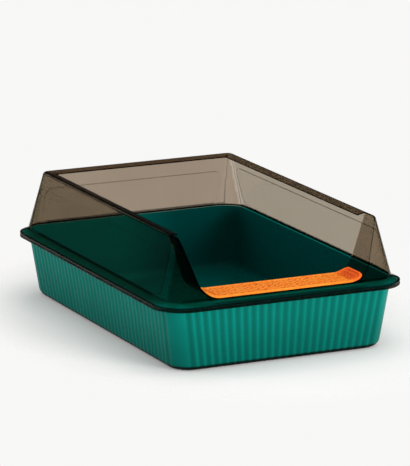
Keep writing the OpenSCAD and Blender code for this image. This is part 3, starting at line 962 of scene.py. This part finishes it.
class LITTERBOX_OT_guard(bpy.types.Operator):
    """Clear smoky splash guard with its lip, skirt, raised panels and U-shaped entry"""
    bl_idname = "litterbox.guard"
    bl_label = "Splash Guard"

    def execute(self, context):
        guard = context.scene.litter_guard
        shell = guard_shell(guard)
        core = guard_core(guard)
        foot_x = HALF_W - guard.flange_width
        foot_y = HALF_D - guard.flange_width
        back = -foot_y + guard.ledge_depth
        block = entry_solid(guard, "cut_block", guard.ledge_thickness, -HALF_D, back)
        entry = entry_solid(guard, "cut_entry", 0.0, -HALF_D - CUT_REACH, back + guard.ledge_thickness / 4)
        run_x = HALF_W - guard.corner_radius
        run_y = HALF_D - guard.corner_radius
        side = (run_y, guard.side_panel_drop, guard.side_lean, foot_x)
        walls = (("back", run_x, guard.back_panel_drop, guard.end_lean, foot_y, math.pi),
                 ("left", *side, -math.pi / 2), ("right", *side, math.pi / 2))
        wall = guard.wall_thickness
        panels = [raised_panel(guard, "cut_panel_" + name, *sizes, -wall / 2, guard.panel_out)
                  for name, *sizes in walls]
        pockets = [raised_panel(guard, "cut_pocket_" + name, *sizes, -1.5 * wall, guard.panel_out - wall)
                   for name, *sizes in walls]
        add_boolean(block, core, "INTERSECT")
        for tool in [block] + panels:
            add_boolean(shell, tool, "UNION")
        for tool in pockets + [entry]:
            add_boolean(shell, tool, "DIFFERENCE")
        bm = cut_mesh(context, shell, [core, block, entry] + panels + pockets, fewest_faces=100)
        bmesh.ops.remove_doubles(bm, verts=bm.verts[:], dist=1e-6)
        bmesh.ops.dissolve_degenerate(bm, dist=1e-6, edges=bm.edges[:])
        bmesh.ops.recalc_face_normals(bm, faces=bm.faces[:])
        drop_int_layers(bm)
        mark_guard(guard, bm, back)
        piece = new_object("guard_shell", bm, smoky_material(guard), math.radians(24))
        piece.visible_shadow = False
        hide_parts("splash_guard")
        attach(piece, "guard")
        return {"FINISHED"}


# ---------------------------------------------------------------- tread

# how far the dimples go on past the flat part
DIMPLE_REACH = 0.004


def tread_columns(tread, arc_radius):
    """Positions along the unrolled tread: even on the flat, closer together towards the rounded ends."""
    flat = tread.flat / 2
    reach = arc_radius * tread.curl
    end_x = flat + arc_radius * math.sin(tread.curl)
    flat_steps = round(flat / tread.grain)
    curl_steps = round(2.5 * reach / tread.grain)
    corner_steps = 14
    columns = [flat * k / flat_steps for k in range(flat_steps)]
    columns += [flat + reach * k / curl_steps for k in range(curl_steps)]
    corner = [end_x - tread.corner_radius * (1 - math.sin(math.pi / 2 * k / corner_steps))
              for k in range(corner_steps + 1)]
    turned = [flat + arc_radius * math.asin(max(0.0, min(1.0, (x - flat) / arc_radius))) for x in corner]
    columns = [c for c in columns if c < turned[0] - 1e-5] + turned
    return [-c for c in reversed(columns[1:])] + columns


def tread_rows(tread, half_y):
    """Positions across the tread as shares of its half width, closer together at its edges."""
    count = round(half_y / tread.grain)
    rows = [k / count for k in range(count)]
    rows += [1 - 0.0009 / half_y, 1 - 0.0004 / half_y, 1.0]
    return [-r for r in reversed(rows[1:])] + rows


def tread_relief(tread, x, y, along, half_x, half_y, slots_middle):
    """Height of the upper side above the plain plate, and how deep a point lies in the pattern, which sets
    the painted shade in its hollows and slots.
    """
    radius = tread.corner_radius
    dx, dy = abs(x) - half_x + radius, abs(y) - half_y + radius
    inward = radius - math.hypot(max(dx, 0.0), max(dy, 0.0)) - min(max(dx, dy), 0.0)
    border = 1 - ease_step(tread.border_width - 0.0007, tread.border_width + 0.0003, inward)
    rounding = 0.0004 * (1 - ease_step(0.0, 0.0006, inward)) * border
    # two waves that wander, with their pitches in radians per metre
    wave = math.sin(640 * y + 2.6 * math.sin(420 * along + 1.7 * math.sin(170 * along)) + 190 * along)
    ripple = math.sin(760 * along + 2.8 * math.sin(480 * y + 70 * along) + 260 * y)
    pattern = 0.6 * wave + 0.4 * ripple
    pit = 0.0
    for row in (-1, 0, 1):
        shift = 0.5 * tread.dimple_pitch if row == 0 else 0.0
        offset = (along - shift) / tread.dimple_pitch
        near = (offset - round(offset)) * tread.dimple_pitch
        far = math.hypot(near * 0.8, y - row * tread.dimple_row)
        if abs(along) < tread.flat / 2 + DIMPLE_REACH:
            pit = max(pit, 1 - ease_step(tread.dimple_radius * 0.5, tread.dimple_radius, far))
    inside = 1 - border
    height = border * tread.border_height - rounding
    height += inside * (pattern * tread.relief - pit * tread.dimple_depth)
    # painted shade in the dimples and the wave troughs
    deep = inside * max(0.8 * pit, 0.72 * ease_step(0.1, 0.7, -pattern))
    # painted shade along the slots
    reach = (slots_middle - abs(along)) / tread.slot_pitch
    if abs(reach) < (tread.slot_count - 1) / 2 + 0.4 and abs(y) < tread.slot_length / 2:
        deep = max(deep, 1 - ease_step(0.14, 0.22, abs(reach - round(reach))))
    return height, deep


def tread_slots(tread, centre_z, arc_radius):
    """Long capsules from front to back, square to each curled end."""
    bm = bmesh.new()
    step = tread.slot_pitch / arc_radius
    below, height = 0.002, 0.008
    for side in (-1, 1):
        for k in range(tread.slot_count):
            faces = rounded_plate(
                bm, tread.slot_width / 2, tread.slot_length / 2, tread.slot_width * 0.499, 6)
            verts = list(dict.fromkeys(v for f in faces for v in f.verts))
            bmesh.ops.translate(bm, verts=verts, vec=(0, 0, -arc_radius - below))
            verts += extrude_faces(bm, faces, (0, 0, height))
            turn = tread.curl * tread.slot_place + (k - (tread.slot_count - 1) / 2) * step
            place = (Matrix.Translation((side * tread.flat / 2, tread.middle, centre_z))
                     @ Matrix.Rotation(-side * turn, 4, "Y"))
            bmesh.ops.transform(bm, matrix=place, verts=verts)
    return temporary("cut_slots", bm)


def tread_plate(tread, arc_radius):
    """Plate with the relief on its upper side, bent up at both ends."""
    half_y = (TREAD_HIGH[1] - TREAD_LOW[1]) / 2
    end_x = TREAD_HIGH[0]
    flat = tread.flat / 2
    centre_z = TREAD_LOW[2] + arc_radius
    slots_middle = flat + arc_radius * tread.curl * tread.slot_place
    columns = tread_columns(tread, arc_radius)
    rows = tread_rows(tread, half_y)
    bm = bmesh.new()
    bmesh.ops.create_grid(bm, x_segments=len(columns) - 1, y_segments=len(rows) - 1, size=1.0)
    column, row = [bm.verts.layers.int.new(name) for name in ("column", "row")]
    deep_layer = bm.verts.layers.float.new("deep")
    for vert in bm.verts:
        vert[column] = round((vert.co.x + 1) / 2 * (len(columns) - 1))
        vert[row] = round((vert.co.y + 1) / 2 * (len(rows) - 1))
    upper = set(extrude_faces(bm, bm.faces[:], (0, 0, 0)))
    for vert in bm.verts:
        along = columns[vert[column]]
        turn = max(0.0, abs(along) - flat) / arc_radius
        plan_x = min(abs(along), flat) + arc_radius * math.sin(turn)
        beyond = max(0.0, plan_x - (end_x - tread.corner_radius))
        half = half_y - tread.corner_radius + math.sqrt(max(0.0, tread.corner_radius ** 2 - beyond ** 2))
        y = rows[vert[row]] * half
        height, deep = 0.0, 0.0
        if vert in upper:
            relief, deep = tread_relief(tread, plan_x, y, along, end_x, half_y, slots_middle)
            height = tread.thickness - tread.border_height + relief
        inner = arc_radius - height
        x = math.copysign(flat + inner * math.sin(turn), along) if turn > 0 else along
        vert.co = (x, tread.middle + y, centre_z - inner * math.cos(turn))
        vert[deep_layer] = deep
    return temporary("cut_tread", bm)


def orange_material(tread):
    """Orange plastic with painted shade in the hollows of the relief, along the slots and on the curled
    end.
    """
    material, shader, tree, soft = plastic(
        "orange_plastic", tread.body, tread.light, roughness=0.42, spread=0.08, scale=160.0, bump=0.5)
    # painted shade: the curled ends are coloured redder and darker
    split = feed(add_node(tree, "SeparateXYZ"), Vector=object_place(tree))
    ends = map_range(tree, split.outputs["X"], tread.flat / 2 - 0.004, tread.flat / 2 + 0.012)
    curled = blend(tree, ends, soft, tread.curled)
    feed(shader, Base_Color=blend(tree, mark(tree, "deep"), curled, tread.hollow_shade), Specular_IOR_Level=0.2)
    return material


class LITTERBOX_OT_tread(bpy.types.Operator):
    """Orange entry tread with a raised border, wavy relief, dimples and slotted ends that curl up"""
    bl_idname = "litterbox.tread"
    bl_label = "Entry Tread"

    def execute(self, context):
        tread = context.scene.litter_tread
        tread.middle = (TREAD_HIGH[1] + TREAD_LOW[1]) / 2
        arc_radius = (TREAD_HIGH[0] - tread.flat / 2) / math.sin(tread.curl)
        plate = tread_plate(tread, arc_radius)
        slots = tread_slots(tread, TREAD_LOW[2] + arc_radius, arc_radius)
        add_boolean(plate, slots, "DIFFERENCE")
        bm = cut_mesh(context, plate, [slots], fewest_faces=1000)
        drop_int_layers(bm)
        piece = new_object("tread_plate", bm, orange_material(tread), math.radians(40))
        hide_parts("entry_tread")
        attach(piece, "tread")
        return {"FINISHED"}


# ---------------------------------------------------------------- stage

# name, width and height, share of the lamp power, location
SOFTBOXES = (
    ("top_softbox", (2.4, 2.4), 0.7, (0.2, 0.0, 2.6)),
    ("front_softbox", (1.6, 1.0), 3.0, (1.3, -3.1, 0.9)),
    ("right_softbox", (1.4, 1.4), 0.6, (2.7, -0.9, 1.7)),
    ("left_softbox", (2.0, 1.2), 1.6, (-2.8, 1.6, 0.8)),
)
LAMP_TARGET = Vector((0, 0, 0.1))


def softbox(name, size, power, location):
    """Area lamp that faces the object and is seen in no reflection and through no clear plastic."""
    data = bpy.data.lights.new(name, "AREA")
    data.shape = "RECTANGLE"
    data.size, data.size_y = size
    data.energy = power
    lamp = bpy.data.objects.new(name, data)
    lamp.location = location
    lamp.rotation_euler = (LAMP_TARGET - lamp.location).to_track_quat("-Z", "Y").to_euler()
    lamp.visible_glossy = False
    lamp.visible_transmission = False
    bpy.context.scene.collection.objects.link(lamp)


def seen_directly(tree):
    """1 for camera rays and rays sent straight on through clear plastic, 0 for every other ray."""
    path = add_node(tree, "LightPath").outputs
    first = maths(tree, "MAXIMUM", path["Is Camera Ray"], path["Is Transmission Ray"])
    return maths(tree, "SUBTRACT", first, path["Glossy Depth"], clamp=True)


def floor_material(stage):
    """Pale matt floor that fades away towards its rim, so that the backdrop takes over."""
    material, shader, tree = principled("pale_floor")
    squeeze = (1.0, HALF_W / HALF_D, 1.0)
    place = maths(tree, "MULTIPLY", object_place(tree), squeeze, kind="VectorMath")
    far = maths(tree, "LENGTH", place, kind="VectorMath")
    fade = map_range(tree, far, stage.fade_start, stage.fade_end, 1.0, 0.0)
    unseen = maths(tree, "SUBTRACT", 1.0, seen_directly(tree))
    camera_ray = add_node(tree, "LightPath").outputs["Is Camera Ray"]
    feed(shader,
         Base_Color=(*stage.floor, 1.0),
         Roughness=0.7,
         Specular_IOR_Level=0.0,
         Alpha=maths(tree, "MAXIMUM", fade, unseen),
         Emission_Color=blend(tree, camera_ray, (0.0, 0.0, 0.0), stage.floor_lift),
         Emission_Strength=1.0)
    return material


def studio_world(stage):
    """Even light from all round, dim in reflections and near white where it is seen directly."""
    world = bpy.data.worlds.new("studio_world")
    world.use_nodes = True
    tree = world.node_tree
    sky = next(n for n in tree.nodes if n.type == "BACKGROUND")
    white = seen_directly(tree)
    glossy_ray = add_node(tree, "LightPath").outputs["Is Glossy Ray"]
    light = map_range(tree, glossy_ray, 0.0, 1.0, stage.ambient, stage.mirrored, curve="LINEAR")
    strength = feed(add_node(tree, "Mix"), Factor=white, A=light, B=1.0)
    shown = blend(tree, white, (1.0, 1.0, 1.0), stage.backdrop)
    feed(sky, Strength=strength.outputs["Result"], Color=shown)
    return world


def studio_camera(stage):
    """Camera at its distance and height, turned to the middle of the object."""
    data = bpy.data.cameras.new("studio_camera")
    data.sensor_fit = "HORIZONTAL"
    data.sensor_width = 36.0
    data.lens = stage.focal
    data.clip_end = 50.0
    turn, rise = stage.azimuth, stage.elevation
    back = Vector((math.sin(turn) * math.cos(rise), -math.cos(turn) * math.cos(rise), math.sin(rise)))
    camera = bpy.data.objects.new("studio_camera", data)
    camera.location = Vector((0.0, 0.0, stage.aim_height)) + back * stage.distance
    camera.rotation_euler = (-back).to_track_quat("-Z", "Y").to_euler()
    bpy.context.scene.collection.objects.link(camera)
    return camera


class LITTERBOX_OT_stage(bpy.types.Operator):
    """Camera, pale floor and soft studio light"""
    bl_idname = "litterbox.stage"
    bl_label = "Studio Stage"

    def execute(self, context):
        scene = context.scene
        stage = scene.litter_stage
        scene.view_settings.view_transform = "Standard"
        scene.camera = studio_camera(stage)
        scene.world = studio_world(stage)
        bm = bmesh.new()
        bmesh.ops.create_circle(bm, cap_ends=True, segments=96, radius=1.6)
        floor = new_object("studio_floor", bm, floor_material(stage))
        for name, size, power_share, location in SOFTBOXES:
            softbox(name, size, stage.lamp_power * power_share, location)
        return {"FINISHED"}


# ---------------------------------------------------------------- panel and registration

OPERATORS = (LITTERBOX_OT_pan, LITTERBOX_OT_guard, LITTERBOX_OT_tread, LITTERBOX_OT_stage)
GROUPS = (
    (PanSettings, "litter_pan"),
    (GuardSettings, "litter_guard"),
    (TreadSettings, "litter_tread"),
    (StageSettings, "litter_stage"),
)


class VIEW3D_PT_litter_box(bpy.types.Panel):
    """Sizes, colours and builders of the litter box"""
    bl_label = "Litter Box"
    bl_idname = "VIEW3D_PT_litter_box"
    bl_space_type = "VIEW_3D"
    bl_region_type = "UI"
    bl_category = "Litter Box"

    def draw(self, context):
        layout = self.layout
        for operator, (group, name) in zip(OPERATORS, GROUPS):
            box = layout.box()
            settings = getattr(context.scene, name)
            for key in group.__annotations__:
                box.prop(settings, key)
            box.operator(operator.bl_idname)


def register():
    for group, name in GROUPS:
        bpy.utils.register_class(group)
        setattr(bpy.types.Scene, name, PointerProperty(type=group))
    for operator in OPERATORS:
        bpy.utils.register_class(operator)
    bpy.utils.register_class(VIEW3D_PT_litter_box)


def unregister():
    bpy.utils.unregister_class(VIEW3D_PT_litter_box)
    for operator in reversed(OPERATORS):
        bpy.utils.unregister_class(operator)
    for group, name in reversed(GROUPS):
        delattr(bpy.types.Scene, name)
        bpy.utils.unregister_class(group)


def main():
    register()
    bpy.ops.litterbox.stage()
    bpy.ops.litterbox.pan()
    bpy.ops.litterbox.guard()
    bpy.ops.litterbox.tread()


if __name__ == "__main__":
    main()
